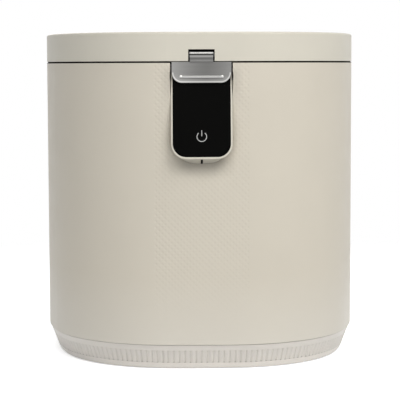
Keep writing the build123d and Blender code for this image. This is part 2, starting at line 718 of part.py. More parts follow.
tip = 0.85 * gear_m + tray_room
shape = make_hull((Pos(0, pot_y) * Circle(gear_r + tip)).edges()
                  + (Pos(0, motor_y) * Circle(motor_r + 4)).edges())
cavity = make_hull((Pos(0, pot_y) * Circle(gear_r + tip - tray_t)).edges()
                   + (Pos(0, motor_y) * Circle(motor_r + 4 - tray_t)).edges())
tray = Pos(0, 0, plate_top) * extrude(shape, tray_h) - Pos(0, 0, plate_top + tray_t) * extrude(cavity, tray_h)
tray += rod(bearing_r, plate_top + tray_t - 0.5, gear_low - 1.5 - fit, 0, pot_y)
tray -= rod(shaft_r + run, plate_top - 1, gear_low, 0, pot_y)
save(tray, "gearbox_tray")
cover = Pos(0, 0, tray_top) * extrude(shape, cover_t)
cover += rod(bearing_r, cover_top - 0.5, cover_top + bearing_h, 0, pot_y)
cover -= rod(shaft_r + run, tray_top - 1, cover_top + bearing_h + 1, 0, pot_y)
cover -= rod(motor_shaft_r + 1.5, tray_top - 1, cover_top + 1, 0, motor_y)
ribs = [block(-1.2, 1.2, bearing_r - 1, bearing_r + 9, 0, bearing_h - 4).rotate(Axis.Z, 60 * k)
        for k in range(1, 6)]
cover += [Pos(0, pot_y, cover_top - 0.2) * r for r in ribs]
save(cover, "gearbox_cover")
motor = rod(motor_r, cover_top, cover_top + motor_h, 0, motor_y)
motor = chamfer(motor.edges().filter_by(GeomType.CIRCLE).sort_by(Axis.Z)[-1:], 2.5)
motor += rod(7, cover_top + motor_h - 0.5, cover_top + motor_h + 3, 0, motor_y)
vent = block(motor_r - 2, motor_r + 2, -2.5, 2.5, 0, 12)
motor -= [Pos(0, motor_y, cover_top + 10) * Rot(0, 0, 60 * k) * vent for k in range(6)]
motor -= rod(motor_shaft_r + 1, cover_top - 1, cover_top + 6, 0, motor_y)
save(motor, "motor")

# ---- control board on its posts ------------------------------------------------------------------
pcb_low = plate_top + pcb_up
pcb = block(pcb_x - pcb_w / 2, pcb_x + pcb_w / 2, pcb_y - pcb_l / 2, pcb_y + pcb_l / 2,
            pcb_low, pcb_low + board_t)
for dx, dy, w, l, h in ((-12, 28, 26, 30, 22), (14, 34, 14, 18, 15), (14, 10, 14, 18, 15),
                        (-14, -8, 16, 24, 11), (12, -26, 24, 22, 8), (-16, -38, 14, 12, 10)):
    pcb += block(pcb_x + dx - w / 2, pcb_x + dx + w / 2, pcb_y + dy - l / 2, pcb_y + dy + l / 2,
                 pcb_low + board_t - 0.2, pcb_low + board_t + h)
for dx, dy in ((2, -8), (2, 4), (-2, -38)):
    pcb += rod(4, pcb_low + board_t - 0.2, pcb_low + board_t + 17, pcb_x + dx, pcb_y + dy)
save(pcb, "control_board")

# ---- air path: duct from the well, plenum, fan ---------------------------------------------------
half_fan = fan_side / 2
plenum_low = fan_low - plenum_h
plenum = block(-half_fan - 6, half_fan + 6, fan_y - half_fan - 2, fan_y + half_fan, plenum_low, fan_low)
plenum -= block(-half_fan - 6 + duct_t, half_fan + 6 - duct_t, fan_y - half_fan - 2 + duct_t,
                fan_y + half_fan - duct_t, plenum_low + duct_t, fan_low - duct_t)
plenum -= rod(fan_bore, fan_low - 4, fan_low + 1, 0, fan_y)
x0, x1 = duct_x - duct_w / 2, duct_x + duct_w / 2
y0, y1 = duct_y - duct_d / 2, duct_y + duct_d / 2
plenum -= block(half_fan, half_fan + 7, y0 + duct_t, y1 - duct_t, plenum_low + duct_t, fan_low - duct_t)
stand = rod(4, plate_top, plenum_low + 0.5, -half_fan, fan_y - half_fan + 2) \
    + rod(4, plate_top, plenum_low + 0.5, half_fan, fan_y - half_fan + 2)
plenum += stand
save(plenum & slab(wall + fit, plate_top, shell_top), "fan_plenum")
duct = block(x0, x1, y0, y1, plenum_low, port_top) + port
duct += block(half_fan + 6, x1, y0, y1, plenum_low, fan_low)
duct -= block(x0 + duct_t, x1 - duct_t, y0 + duct_t, y1 - duct_t, plenum_low + duct_t, port_top - duct_t)
duct -= block(half_fan, x1 - duct_t, y0 + duct_t, y1 - duct_t, plenum_low + duct_t, fan_low - duct_t)
duct -= block(x0 + duct_t, x1 - duct_t, pot_y - 1, y1 - duct_t, port_top - port_h + duct_t, port_top - duct_t)
duct -= rod(well_out + 0.1, plenum_low - 1, port_top + 1, 0, pot_y)
save(duct, "exhaust_duct")

fan_frame = Pos(0, fan_y, fan_low) * extrude(RectangleRounded(fan_side, fan_side, 5), fan_h)
fan_frame -= rod(fan_bore, fan_low - 1, fan_low + fan_h + 1, 0, fan_y)
fan_frame -= [peg(2.1, fan_low - 1, fan_low + fan_h + 1, sx * (half_fan - 5), fan_y + sy * (half_fan - 5))
              for sx in (-1, 1) for sy in (-1, 1)]
fan_frame += rod(fan_hub, fan_low, fan_low + 3, 0, fan_y)
strut = block(fan_hub - 1, fan_bore + 1, -1.5, 1.5, fan_low, fan_low + 3)
fan_frame += [Pos(0, fan_y, 0) * Rot(0, 0, 45 + 90 * k) * strut for k in range(4)]
fan_frame += rod(1.5, fan_low + 2, fan_low + 12, 0, fan_y)
save(fan_frame, "fan_frame")
rotor = rod(fan_hub, fan_low + 3 + fit, fan_low + fan_h - 3, 0, fan_y)
blade_h = fan_h - 8
for k in range(fan_blades):
    blade = Rot(0, 0, 360 * k / fan_blades) * Pos((fan_hub + fan_bore) / 2 - 1, 0, 0) * Rot(38, 0, 0) \
        * Box(fan_bore - fan_hub + 2, 1.6, blade_h * 1.25)
    rotor += (Pos(0, fan_y, fan_low + 4 + blade_h / 2) * blade) \
        & rod(fan_bore - 1, fan_low + 4, fan_low + fan_h - 4, 0, fan_y)
rotor -= rod(1.5 + run, fan_low, fan_low + 12.5, 0, fan_y)
save(rotor, "fan_rotor")

# ---- filter sleeve, drawer with grille cover, carbon cartridge -----------------------------------
inside = slab(wall + fit, skirt_top, shell_top)
sleeve = block(-sleeve_half, sleeve_half, sleeve_front, half_depth, sleeve_low, sleeve_top)
sleeve -= block(-sleeve_half + sleeve_t, sleeve_half - sleeve_t, sleeve_front + sleeve_t, half_depth + 5,
                sleeve_low + sleeve_t, sleeve_top - sleeve_t)
sleeve -= rod(fan_bore - 2, sleeve_low - 1, sleeve_low + 5, 0, fan_y)
save(sleeve & inside, "filter_sleeve")

run_low = sleeve_low + sleeve_t + fit
run_half = sleeve_half - sleeve_t - 0.5
drawer_front = sleeve_front + sleeve_t + 0.5
drawer = block(-run_half, run_half, drawer_front, half_depth, run_low, run_low + drawer_side_h)
drawer -= block(-run_half + drawer_t, run_half - drawer_t, drawer_front + drawer_t, half_depth + 5,
                run_low + drawer_t, run_low + drawer_side_h + 5)
drawer -= [block(-fan_bore, fan_bore, drawer_front + 8 + 8 * k, drawer_front + 12 + 8 * k, run_low - 1,
                 run_low + drawer_t + 1) for k in range(6)]
pull_z = sleeve_top - sleeve_t - 5 - pull_h
cup = block(-pull_half - 3, pull_half + 3, half_depth - pull_deep - 2, half_depth,
            pull_z - 4, pull_z + pull_h + 3)
drawer = (drawer + cup) & slab(wall - 0.5, skirt_top, shell_top)
face_plate = ring(0, wall, sleeve_low - cover_over + 0.5, sleeve_top + cover_over - 0.5) \
    & block(-cover_half + 0.5, cover_half - 0.5, 0, half_depth + 5, skirt_top, shell_top)
drawer += face_plate
grille_low = run_low + 6
drawer -= [block(-grille_w / 2, grille_w / 2, half_depth - 12, half_depth + 5, grille_low + grille_pitch * k,
                 grille_low + grille_pitch * k + grille_slot) for k in range(grille_n)]
drawer -= block(-pull_half + 2, pull_half - 2, half_depth - 6, half_depth + 5, pull_z, pull_z + pull_h - 3)
drawer -= block(-pull_half, pull_half, half_depth - pull_deep, half_depth - wall - 1.5,
                pull_z - 2, pull_z + pull_h + 1)
save(drawer, "filter_drawer")

cart_front = drawer_front + drawer_t + fit
cart_back = front_c * -1 + math.sqrt((front_r - wall) ** 2 - run_half ** 2) - 2.5
cart_half = run_half - drawer_t - fit
cart_low = run_low + drawer_t
cartridge = block(-cart_half, cart_half, cart_front, cart_back, cart_low, cart_low + cartridge_h - 8)
cell = 2 * (cart_half - 3) / cell_n
cell_h = (cartridge_h - 16) / 4
cells = [block(-cart_half + 3 + cell * i + 1.2, -cart_half + 3 + cell * (i + 1) - 1.2, y - 1.5, y + 1.5,
               cart_low + 4 + cell_h * j + 1.2, cart_low + 4 + cell_h * (j + 1) - 1.2)
         for i in range(cell_n) for j in range(4) for y in (cart_front, cart_back)]
cartridge -= cells
save(cartridge, "carbon_cartridge")

# ---- power inlet ---------------------------------------------------------------------------------
inlet = block(-inlet_w / 2, inlet_w / 2, half_depth - inlet_deep, half_depth,
              inlet_z - inlet_h / 2, inlet_z + inlet_h / 2)
inlet += block(-inlet_w / 2 - 2.5, inlet_w / 2 + 2.5, half_depth, half_depth + inlet_rim,
               inlet_z - inlet_h / 2 - 2.5, inlet_z + inlet_h / 2 + 2.5)
hw, hh = inlet_w / 2 - 1.5, inlet_h / 2 - 2.0
mouth_face = make_face(Polyline((-hw, -hh), (hw, -hh), (hw, hh - 4), (hw - 4, hh), (4 - hw, hh),
                                (-hw, hh - 4), close=True))
inlet -= Pos(0, half_depth + inlet_rim + 1, inlet_z) * extrude(Plane.XZ * mouth_face, 17 + inlet_rim)
save(inlet, "power_inlet")
pin_back = half_depth - 16
save(Compound([block(x - 1, x + 1, pin_back, half_depth - 1.5, inlet_z + z - 2, inlet_z + z + 2)
               for x, z in ((-7, -1), (7, -1), (0, 3))]), "inlet_pins")

# ---- lid: shell with latch pocket and rear knuckle, liner, gasket, screws, hinge pin -------------
lid_shell = slab(0, lid_low, lid_top)
lid_shell = fillet(lid_shell.faces().sort_by(Axis.Z)[-1].edges(), lid_round)
lid_shell -= slab(wall, lid_low - 1, lid_top - lid_top_t)
liner_top = lid_low + liner_lift + 2.2
boss_at = [(sx * lid_boss_x, sy * lid_boss_y) for sx in (-1, 1) for sy in (-1, 1)]
lid_shell += [peg(boss_r, liner_top, lid_top - lid_top_t + 0.5, x, y) for x, y in boss_at]
lid_shell -= [bore(screw_r + 0.1, liner_top - 1, liner_top + 10, x, y) for x, y in boss_at]
notch_half = notch_w / 2
latch_back = latch_y + barrel_r + 2.5
cup = block(-notch_half - 4, notch_half + 4, front_at(0, wall - 0.5), latch_back + 3, lid_low, notch_top + 3)
lid_shell += cup & slab(wall - 0.5, lid_low, lid_top)
lid_shell -= block(-notch_half, notch_half, -half_depth - 5, latch_back, lid_low - 1, notch_top)
lid_shell -= cross_rod(latch_pin_r, -notch_half - 3, notch_half + 3, latch_y, latch_z)
neck = block(-knuckle_half, knuckle_half, half_depth - 8, hinge_y, lid_low + 0.4, hinge_z + hinge_r - 0.5)
knuckle = cross_rod(hinge_r, -knuckle_half, knuckle_half, hinge_y, hinge_z)
lid_shell += (neck - slab(wall - 0.3, lid_low, lid_top)) + knuckle
lid_shell -= cross_rod(hinge_pin_r + run, -knuckle_half - 1, knuckle_half + 1, hinge_y, hinge_z)
save(lid_shell, "lid_shell")
pin_half = knuckle_half + 0.6 + lug_len
save(cross_rod(hinge_pin_r, -pin_half, pin_half, hinge_y, hinge_z), "hinge_pin")
save(cross_rod(latch_pin_r, -notch_half - 3, notch_half + 3, latch_y, latch_z), "latch_pin")

liner_under = lid_low + liner_lift
liner = slab(wall + 0.4, liner_under, liner_top)
liner -= rod(liner_r - 1, liner_under - 1, liner_top + 1, 0, pot_y)
liner += turned([(0, liner_low), (liner_r - 4, liner_low), (liner_r, liner_low + 4), (liner_r, liner_top),
                 (liner_r - liner_t, liner_top), (liner_r - liner_t, liner_low + 5),
                 (liner_r - 5, liner_low + liner_t), (0, liner_low + liner_t)])
liner -= block(-notch_half - 4.4, notch_half + 4.4, -half_depth, latch_back + 3.4,
               liner_under - 1, liner_top + 1)
liner -= [bore(screw_r + 0.1, liner_under - 1, liner_top + 1, x, y) for x, y in boss_at]
plunger_top = liner_under - 1.2
liner += rod(4, plunger_top + fit, liner_under + 0.5, switch_x, switch_y)
save(liner, "lid_liner")
gasket = turned([(gasket_r, deck_top + well_wall + fit), (gasket_r + gasket_w, deck_top + well_wall + fit),
                 (gasket_r + gasket_w, liner_under), (gasket_r, liner_under)])
save(gasket, "lid_gasket")
save(Compound([peg(head_r, liner_under - 1.5, liner_under, x, y)
               + peg(screw_r, liner_under - 0.5, liner_top + 8, x, y, 8)
               for x, y in boss_at]), "liner_screws")

# ---- lid switch and its plunger ------------------------------------------------------------------
save(block(switch_x - 10, switch_x + 10, switch_y - 4, switch_y + 4, deck_low - 12, deck_low)
     - rod(plunger_r + run, deck_low - 12.5 + 1.5, deck_low + 1, switch_x, switch_y), "lid_switch")
save(rod(plunger_r, plunger_top - plunger_l, plunger_top, switch_x, switch_y), "switch_plunger")

# ---- latch: curved plate with an embossed bead, strap and rolled barrel; keeper spring on the pod 
plate_r = front_r + latch_proud
sheet = rod(plate_r, latch_low, latch_low + 60, 0, front_c) \
    - rod(plate_r - latch_t, latch_low - 1, latch_low + 61, 0, front_c)
plate = extrude(Plane.XZ * tongue(latch_w / 2, latch_low, latch_top, latch_corner), half_depth + 20)
latch = sheet & plate
latch = chamfer([e for e in latch.edges() if e.center().Y < front_at(latch_w / 2)
                and e.center().Z < latch_top - 1
                and abs(math.hypot(e.center().X, e.center().Y - front_c) - plate_r) < 0.4
                and e.length > 3], 0.45)
latch += block(-strap_w / 2, strap_w / 2, latch_y - barrel_r, latch_y - barrel_r + latch_t,
               latch_top - 3, latch_z)
latch += cross_rod(barrel_r, -strap_w / 2, strap_w / 2, latch_y, latch_z)
latch -= cross_rod(latch_pin_r + run, -strap_w, strap_w, latch_y, latch_z)
latch -= block(-strap_w, strap_w, latch_y - barrel_r - 1, latch_y - latch_pin_r, latch_z + 0.3, latch_z + 1.0)
bead_y = -(half_depth + latch_proud)
bead = cross_rod(bead_r, -bead_l / 2, bead_l / 2, bead_y + 0.6, bead_z)
bead += [Pos(s * bead_l / 2, bead_y + 0.8, bead_z) * Sphere(bead_r + 0.3) for s in (-1, 1)]
latch += bead - block(-40, 40, bead_y + latch_t - 0.2, 0, bead_z - 9, bead_z + 9)
latch -= cross_rod(bead_r - 0.5, -bead_l / 2 + 1, bead_l / 2 - 1, bead_y + latch_t, bead_z)
save(latch, "latch_plate")

nose_y = bead_y + latch_t - 0.6


def face_y(z):
    """y of the pod's sloping face at a height."""
    return pod_y + (z - pod_low) * math.tan(tilt)


keeper = side_profile([(face_y(bead_z - 2.6), bead_z - 2.6), (nose_y + 0.6, bead_z - 0.5), (nose_y, bead_z),
                       (nose_y + 0.6, bead_z + 0.5), (face_y(bead_z + 2.6), bead_z + 2.6),
                       (face_y(bead_z + 1.8), bead_z + 1.8), (nose_y + 1.3, bead_z + 0.3),
                       (nose_y + 1.3, bead_z - 0.3), (face_y(bead_z - 1.8), bead_z - 1.8)],
                      -keeper_half, keeper_half)
save(keeper, "latch_keeper")

print("flutes", flutes, "motor top", cover_top + motor_h + 3, "pod front", round(pod_y, 2),
      "hinge", hinge_y, hinge_z)
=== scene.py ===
import math

import bmesh
import bpy
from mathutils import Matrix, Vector


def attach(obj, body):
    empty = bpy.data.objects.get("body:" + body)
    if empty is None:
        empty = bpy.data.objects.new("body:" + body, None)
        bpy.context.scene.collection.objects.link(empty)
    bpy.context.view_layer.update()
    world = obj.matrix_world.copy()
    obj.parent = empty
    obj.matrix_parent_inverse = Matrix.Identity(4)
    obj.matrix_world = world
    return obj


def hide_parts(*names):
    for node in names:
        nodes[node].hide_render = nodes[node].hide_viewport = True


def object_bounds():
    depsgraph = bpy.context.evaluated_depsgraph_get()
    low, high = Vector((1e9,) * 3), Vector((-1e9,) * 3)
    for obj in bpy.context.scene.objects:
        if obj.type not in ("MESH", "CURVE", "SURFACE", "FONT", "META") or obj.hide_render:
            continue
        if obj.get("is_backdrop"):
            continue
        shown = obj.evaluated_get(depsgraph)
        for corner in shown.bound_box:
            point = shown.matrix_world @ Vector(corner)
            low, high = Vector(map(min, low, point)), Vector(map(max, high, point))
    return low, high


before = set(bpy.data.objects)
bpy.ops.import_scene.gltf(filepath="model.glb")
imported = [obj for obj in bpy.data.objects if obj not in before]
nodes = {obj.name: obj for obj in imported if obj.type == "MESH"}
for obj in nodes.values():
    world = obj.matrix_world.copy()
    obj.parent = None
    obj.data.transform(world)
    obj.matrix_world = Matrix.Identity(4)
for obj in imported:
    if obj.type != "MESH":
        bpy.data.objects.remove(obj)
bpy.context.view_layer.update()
scene = bpy.context.scene

# ---- camera: level with the lid, a little to the left, long lens --------------------------------
LENS_MM, SENSOR_MM = 135.47, 36.0
CLIP_NEAR, CLIP_FAR = 0.05, 50.0
CAMERA_PLACE = (-0.0207, -1.5734, 0.2873)
CAMERA_TURN_DEG = (84.936, 0.177, -0.786)

camera = bpy.data.objects.new("camera", bpy.data.cameras.new("camera"))
scene.collection.objects.link(camera)
camera.data.lens = LENS_MM
camera.data.sensor_width = SENSOR_MM
camera.data.clip_start, camera.data.clip_end = CLIP_NEAR, CLIP_FAR
camera.location = CAMERA_PLACE
camera.rotation_euler = [math.radians(a) for a in CAMERA_TURN_DEG]
scene.camera = camera
scene.view_settings.view_transform = "Standard"

# ---- sizes of the solids that the pieces here follow, in millimetres ----------------------------
MM = 0.001
PLATE_R = 700.6          # radius of the latch plate's curve
PLATE_C = 535.0          # centre of that curve, in y
PLATE_HALF, PLATE_LOW, PLATE_TOP, PLATE_CORNER, PLATE_T = 27.9, 272.2, 291.7, 9.7, 1.5
STRAP_HALF = 10.95
BARREL_Y, BARREL_Z, BARREL_R, BORE_R = -162.6, 298.5, 3.0, 1.56
BEAD_HALF, BEAD_Z, BEAD_R, BALL_R = 19.4, 277.9, 1.4, 1.75
BEAD_IN = 0.60           # the bead's axis stands in from the plate's face by this
HALF_WIDTH, HALF_DEPTH = 157.1, 165.0
FRONT_R, SIDE_R, CORNER_R = 700.0, 252.0, 123.0
SEAM_LOW, SEAM_HIGH = 291.45, 292.5


# ---- shader helpers -----------------------------------------------------------------------------
class Shader:
    """A material's node tree with short calls for the nodes used here."""

    def __init__(self, name):
        self.mat = bpy.data.materials.new(name)
        self.mat.use_nodes = True
        self.tree = self.mat.node_tree
        self.tree.nodes.clear()
        self.out = self.tree.nodes.new("ShaderNodeOutputMaterial")
        self.bsdf = self.tree.nodes.new("ShaderNodeBsdfPrincipled")
        self.join(self.bsdf.outputs[0], self.out.inputs["Surface"])
        self.where = self.tree.nodes.new("ShaderNodeTexCoord").outputs["Object"]
        self.height = None

    def join(self, a, b):
        self.tree.links.new(a, b)

    def node(self, kind, **values):
        n = self.tree.nodes.new(kind)
        for k, v in values.items():
            setattr(n, k, v)
        return n

    def math(self, op, a, b=None):
        n = self.node("ShaderNodeMath", operation=op)
        for value, socket in zip((a, b), n.inputs):
            if isinstance(value, (int, float)):
                socket.default_value = value
            elif value is not None:
                self.join(value, socket)
        return n.outputs[0]

    def product(self, first, *rest):
        for k in rest:
            first = self.math("MULTIPLY", first, k)
        return first

    def off(self, value, place):
        """How far a value is from a place, without its sign."""
        return self.math("ABSOLUTE", self.math("SUBTRACT", value, place))

    def scaled(self, sx, sy, sz):
        n = self.node("ShaderNodeVectorMath", operation="MULTIPLY")
        self.join(self.where, n.inputs[0])
        n.inputs[1].default_value = (sx, sy, sz)
        return n.outputs[0]

    def noise(self, scale, detail=2.0, vector=None, roughness=0.5):
        n = self.node("ShaderNodeTexNoise")
        self.join(vector or self.where, n.inputs["Vector"])
        n.inputs["Scale"].default_value = scale
        n.inputs["Detail"].default_value = detail
        n.inputs["Roughness"].default_value = roughness
        return n.outputs["Fac"]

    def range(self, value, low, high, to_low, to_high):
        n = self.node("ShaderNodeMapRange")
        self.join(value, n.inputs["Value"])
        for k, v in (("From Min", low), ("From Max", high), ("To Min", to_low), ("To Max", to_high)):
            n.inputs[k].default_value = v
        return n.outputs[0]

    def ramp(self, value, stops):
        n = self.node("ShaderNodeValToRGB")
        self.join(value, n.inputs[0])
        e = n.color_ramp.elements
        while len(e) < len(stops):
            e.new(0.5)
        for k, (place, colour) in enumerate(stops):
            e[k].position = place
            e[k].color = (*colour, 1.0)
        return n.outputs[0]

    def mix(self, share, a, b, blend="MIX"):
        n = self.node("ShaderNodeMixRGB", blend_type=blend)
        for value, socket in zip((share, a, b), n.inputs):
            if isinstance(value, bpy.types.NodeSocket):
                self.join(value, socket)
            else:
                socket.default_value = value
        return n.outputs[0]

    def axes(self):
        n = self.node("ShaderNodeSeparateXYZ")
        self.join(self.where, n.inputs[0])
        return n.outputs

    def add_height(self, value, amount):
        scaled = self.math("MULTIPLY", value, amount)
        self.height = scaled if self.height is None else self.math("ADD", self.height, scaled)

    def bump(self):
        """Turns the heights gathered so far, in metres, into the surface's relief."""
        n = self.node("ShaderNodeBump")
        n.inputs["Strength"].default_value = 1.0
        n.inputs["Distance"].default_value = 1.0
        self.join(self.height, n.inputs["Height"])
        self.join(n.outputs[0], self.bsdf.inputs["Normal"])

    def put(self, **values):
        for k, v in values.items():
            s = self.bsdf.inputs[k.replace("_", " ").title().replace("Ior", "IOR")]
            if isinstance(v, bpy.types.NodeSocket):
                self.join(v, s)
            else:
                s.default_value = v

    def source(self, name):
        """What is linked to one of the surface's inputs so far."""
        return self.bsdf.inputs[name].links[0].from_socket

    def paint(self, share, colour):
        """Lays a colour over the base colour, by share."""
        self.put(base_color=self.mix(share, self.source("Base Color"), (*colour, 1.0)))


def shade(colour, factor):
    return tuple(min(1.0, x * factor) for x in colour)


def plastic(name, colour, rough=0.4, grain=900.0, grain_h=0.000004, vary=0.03, specular=0.5):
    """Moulded plastic: slight mottling of the colour, fine grain, uneven gloss."""
    s = Shader(name)
    blotch = s.noise(scale=14.0, detail=4.0)
    s.put(base_color=s.ramp(blotch, [(0.3, shade(colour, 1 - vary)), (0.7, shade(colour, 1 + vary))]))
    s.put(roughness=s.range(s.noise(scale=60.0, detail=3.0), 0.3, 0.7, rough - 0.04, rough + 0.05))
    s.add_height(s.noise(grain), grain_h)
    s.put(specular_ior_level=specular)
    return s


def metal(name, colour, rough=0.3, streak=(1.0, 1.0, 1.0), depth=0.000004, vary=0.06, grain=900.0):
    """Bare metal with streaks along the axes given a small factor."""
    s = Shader(name)
    lines = s.noise(grain, detail=3.0, vector=s.scaled(*streak), roughness=0.6)
    s.put(metallic=1.0)
    s.put(base_color=s.ramp(lines, [(0.25, shade(colour, 1 - vary)), (0.75, shade(colour, 1 + vary))]))
    s.put(roughness=s.range(s.noise(scale=25.0, detail=3.0), 0.3, 0.7, rough - 0.05, rough + 0.07))
    s.add_height(lines, depth)
    return s


def finished(kind, *args, **kw):
    """The material of a plastic or metal that needs nothing added."""
    s = kind(*args, **kw)
    s.bump()
    return s.mat


# ---- cream mouldings ----------------------------------------------------------------------------
CREAM = (0.624, 0.572, 0.474)
CREAM_LOW_LIT = (0.672, 0.630, 0.546)      # the housing's lower part, lighter: painted bounce light from the floor
LID_CREAM = (0.634, 0.596, 0.502)
SKIRT = (0.715, 0.675, 0.615)
SHADE = (0.014, 0.012, 0.010)          # painted shade inside the recesses and on the seam's faces
LOW_LIGHT_FADE = (0.024, 0.090, 0.9, 0.0)    # from and to which height the lower part's painted bounce light fades, and its shares there
SHADED_TONE = 0.30
FRONT_HALF_Y = -0.12                   # painted soft shadow patches are on what lies ahead of this
# painted shade by ambient occlusion, in every corner and in the flutes' grooves
NOOK_SHADE_REACH, FLUTE_SHADE_REACH = 0.012, 0.0012
NOOK_SHADE_STOPS = [(0.25, (0.55, 0.54, 0.52)), (0.9, (1.0, 1.0, 1.0))]

# shallow dimples: staggered rows on the middle of the front, fading out downwards
DIMPLE_PITCH, DIMPLE_DEPTH = 0.0058, 0.00018
DIMPLE_SIDES, DIMPLE_RISE, DIMPLE_FRONT = (0.0435, 0.0455), (0.050, 0.105), (-0.150, -0.145)

# boxes that are symmetric about x: half width, y from and to, z from and to
ALL_ROUND = (0.3, -0.3, 0.3)
RIM_LOW = (*ALL_ROUND, 0.29080, 0.2916)       # the two faces of the lid's seam are painted dark, as painted shade of the seam gap
RIM_HIGH = (*ALL_ROUND, 0.2922, 0.29248)      # seal between them
# painted shade inside the latch's pocket, the lid's notch and the bezel's slit
LATCH_POCKET = (0.02936, -0.1643, -0.1400, 0.2630, 0.2913)
LID_NOTCH = (0.01242, -0.16475, -0.1565, 0.2900, 0.30345)
BEZEL_SLIT = (0.00097, -0.1743, -0.1600, 0.1900, 0.2050)
# painted shade on the bezel's underside
BEZEL_UNDERSIDE = (0.0300, -0.1757, -0.1600, 0.1900, 0.20215)
# painted bounce light: the skirt's lips lighter
UPPER_LIP = (*ALL_ROUND, 0.0184, 0.0250)
LOWER_LIP = (*ALL_ROUND, 0.0000, 0.0062)

# painted soft shadow patches on the front: most, |x| full and none, z none, full, full, none
SHADOW_BESIDE_POD = (0.28, 0.0290, 0.0400, 0.2450, 0.2720, 0.2810, 0.2900)
SHADOW_UNDER_POD = (0.42, 0.0120, 0.0330, 0.1830, 0.1990, 0.2100, 0.2300)


def inside(s, x_half, y_low, y_high, z_low, z_high):
    """1 inside a box that is symmetric about x, 0 outside it."""
    x, y, z = s.axes()
    return s.product(s.math("LESS_THAN", s.math("ABSOLUTE", x), x_half),
                     s.math("GREATER_THAN", y, y_low), s.math("LESS_THAN", y, y_high),
                     s.math("GREATER_THAN", z, z_low), s.math("LESS_THAN", z, z_high))


def fade(s, most, x_full, x_none, z_low, z_low_full, z_high_full, z_high):
    """A painted soft shadow patch on the front, symmetric about x: most at its heart, 0 outside."""
    x, y, z = s.axes()
    across = s.range(s.math("ABSOLUTE", x), x_full, x_none, most, 0.0)
    up = s.product(s.range(z, z_low, z_low_full, 0.0, 1.0), s.range(z, z_high_full, z_high, 1.0, 0.0))
    return s.product(across, up, s.math("LESS_THAN", y, FRONT_HALF_Y))


def dimple(s):
    x, y, z = s.axes()
    turn = 2 * math.pi / DIMPLE_PITCH
    dots = s.product(*(s.math("COSINE", s.math("MULTIPLY", along, turn)) for along in (x, z)))
    dots = s.math("MAXIMUM", dots, 0.0)
    mask = s.product(s.range(s.math("ABSOLUTE", x), *DIMPLE_SIDES, 1.0, 0.0),
                     s.range(z, *DIMPLE_RISE, 0.0, 1.0), s.range(y, *DIMPLE_FRONT, 1.0, 0.0))
    s.add_height(s.product(dots, mask), -DIMPLE_DEPTH)


def cream(name, colour, dimpled=False, low=None, painted_light_and_shade=(), dark=(), shaded=(), shade_reach=NOOK_SHADE_REACH):
    """Cream moulding with painted light and shade: bounce light low down, lighter or darker boxes, dark
    recesses, soft shadows and shaded corners.
    """
    s = plastic(name, colour, rough=0.44, grain=1500.0, grain_h=0.000003, vary=0.012, specular=0.35)
    # painted bounce light: the colour turns lighter towards the bottom
    if low:
        s.paint(s.range(s.axes()[2], *LOW_LIGHT_FADE), low)
    # painted light and shade: boxes made lighter or darker by a factor
    for factor, region in painted_light_and_shade:
        s.paint(inside(s, *region), shade(colour, factor))
    # painted shade in the recesses, made fully rough there
    for region in dark:
        mask = inside(s, *region)
        s.paint(mask, SHADE)
        s.put(roughness=s.math("MAXIMUM", s.source("Roughness"), mask))
    # painted soft shadows beside and under the pod
    for region in shaded:
        s.paint(fade(s, *region), shade(colour, SHADED_TONE))
    # painted shade: the colour darkens where ambient occlusion finds it enclosed
    occlusion = s.node("ShaderNodeAmbientOcclusion", samples=8)
    occlusion.inputs["Distance"].default_value = shade_reach
    nook_shade = s.ramp(occlusion.outputs["AO"], NOOK_SHADE_STOPS)
    s.put(base_color=s.mix(1.0, s.source("Base Color"), nook_shade, blend="MULTIPLY"))
    if dimpled:
        dimple(s)
    s.bump()
    return s.mat


mats = {
    "body_shell": cream("body_cream", CREAM, dimpled=True, low=CREAM_LOW_LIT,
                        dark=[LATCH_POCKET, RIM_LOW], shaded=[SHADOW_BESIDE_POD, SHADOW_UNDER_POD]),
    "lid_shell": cream("lid_cream", LID_CREAM, dark=[LID_NOTCH, RIM_HIGH]),
    "filter_drawer": cream("drawer_cream", CREAM),
    "pod_bezel": cream("bezel_cream", LID_CREAM, painted_light_and_shade=[(0.66, BEZEL_UNDERSIDE)], dark=[BEZEL_SLIT]),
    "base_skirt": cream("skirt_cream", SKIRT, painted_light_and_shade=[(1.04, UPPER_LIP), (1.10, LOWER_LIP)],
                        shade_reach=FLUTE_SHADE_REACH),
}

# ---- plain plastics and metals ------------------------------------------------------------------
dark = finished(plastic, "dark_plastic", (0.030, 0.030, 0.032), rough=0.5)
grey = finished(plastic, "grey_plastic", (0.30, 0.30, 0.29), rough=0.45)
rubber = finished(plastic, "black_rubber", (0.022, 0.022, 0.022), rough=0.75, grain=2500.0)
# painted shade: the dark strip in the lid's seam gap
seam_rubber = finished(plastic, "seam_rubber", (0.021, 0.017, 0.013), rough=0.9, specular=0.1)
carbon = finished(plastic, "carbon", (0.020, 0.020, 0.021), rough=0.85, grain=1800.0, grain_h=0.00008)
board = finished(plastic, "board_green", (0.03, 0.14, 0.06), rough=0.35)
steel = finished(metal, "steel", (0.60, 0.60, 0.61), rough=0.28)
turned_steel = finished(metal, "turned_steel", (0.58, 0.58, 0.59), rough=0.25, streak=(0.2, 0.2, 1.0))
cast = finished(metal, "cast_aluminium", (0.50, 0.51, 0.52), rough=0.42, grain=500.0, depth=0.00002)
motor_paint = finished(metal, "motor_steel", (0.30, 0.31, 0.33), rough=0.35)
bronze = finished(metal, "bronze", (0.55, 0.36, 0.16), rough=0.32)


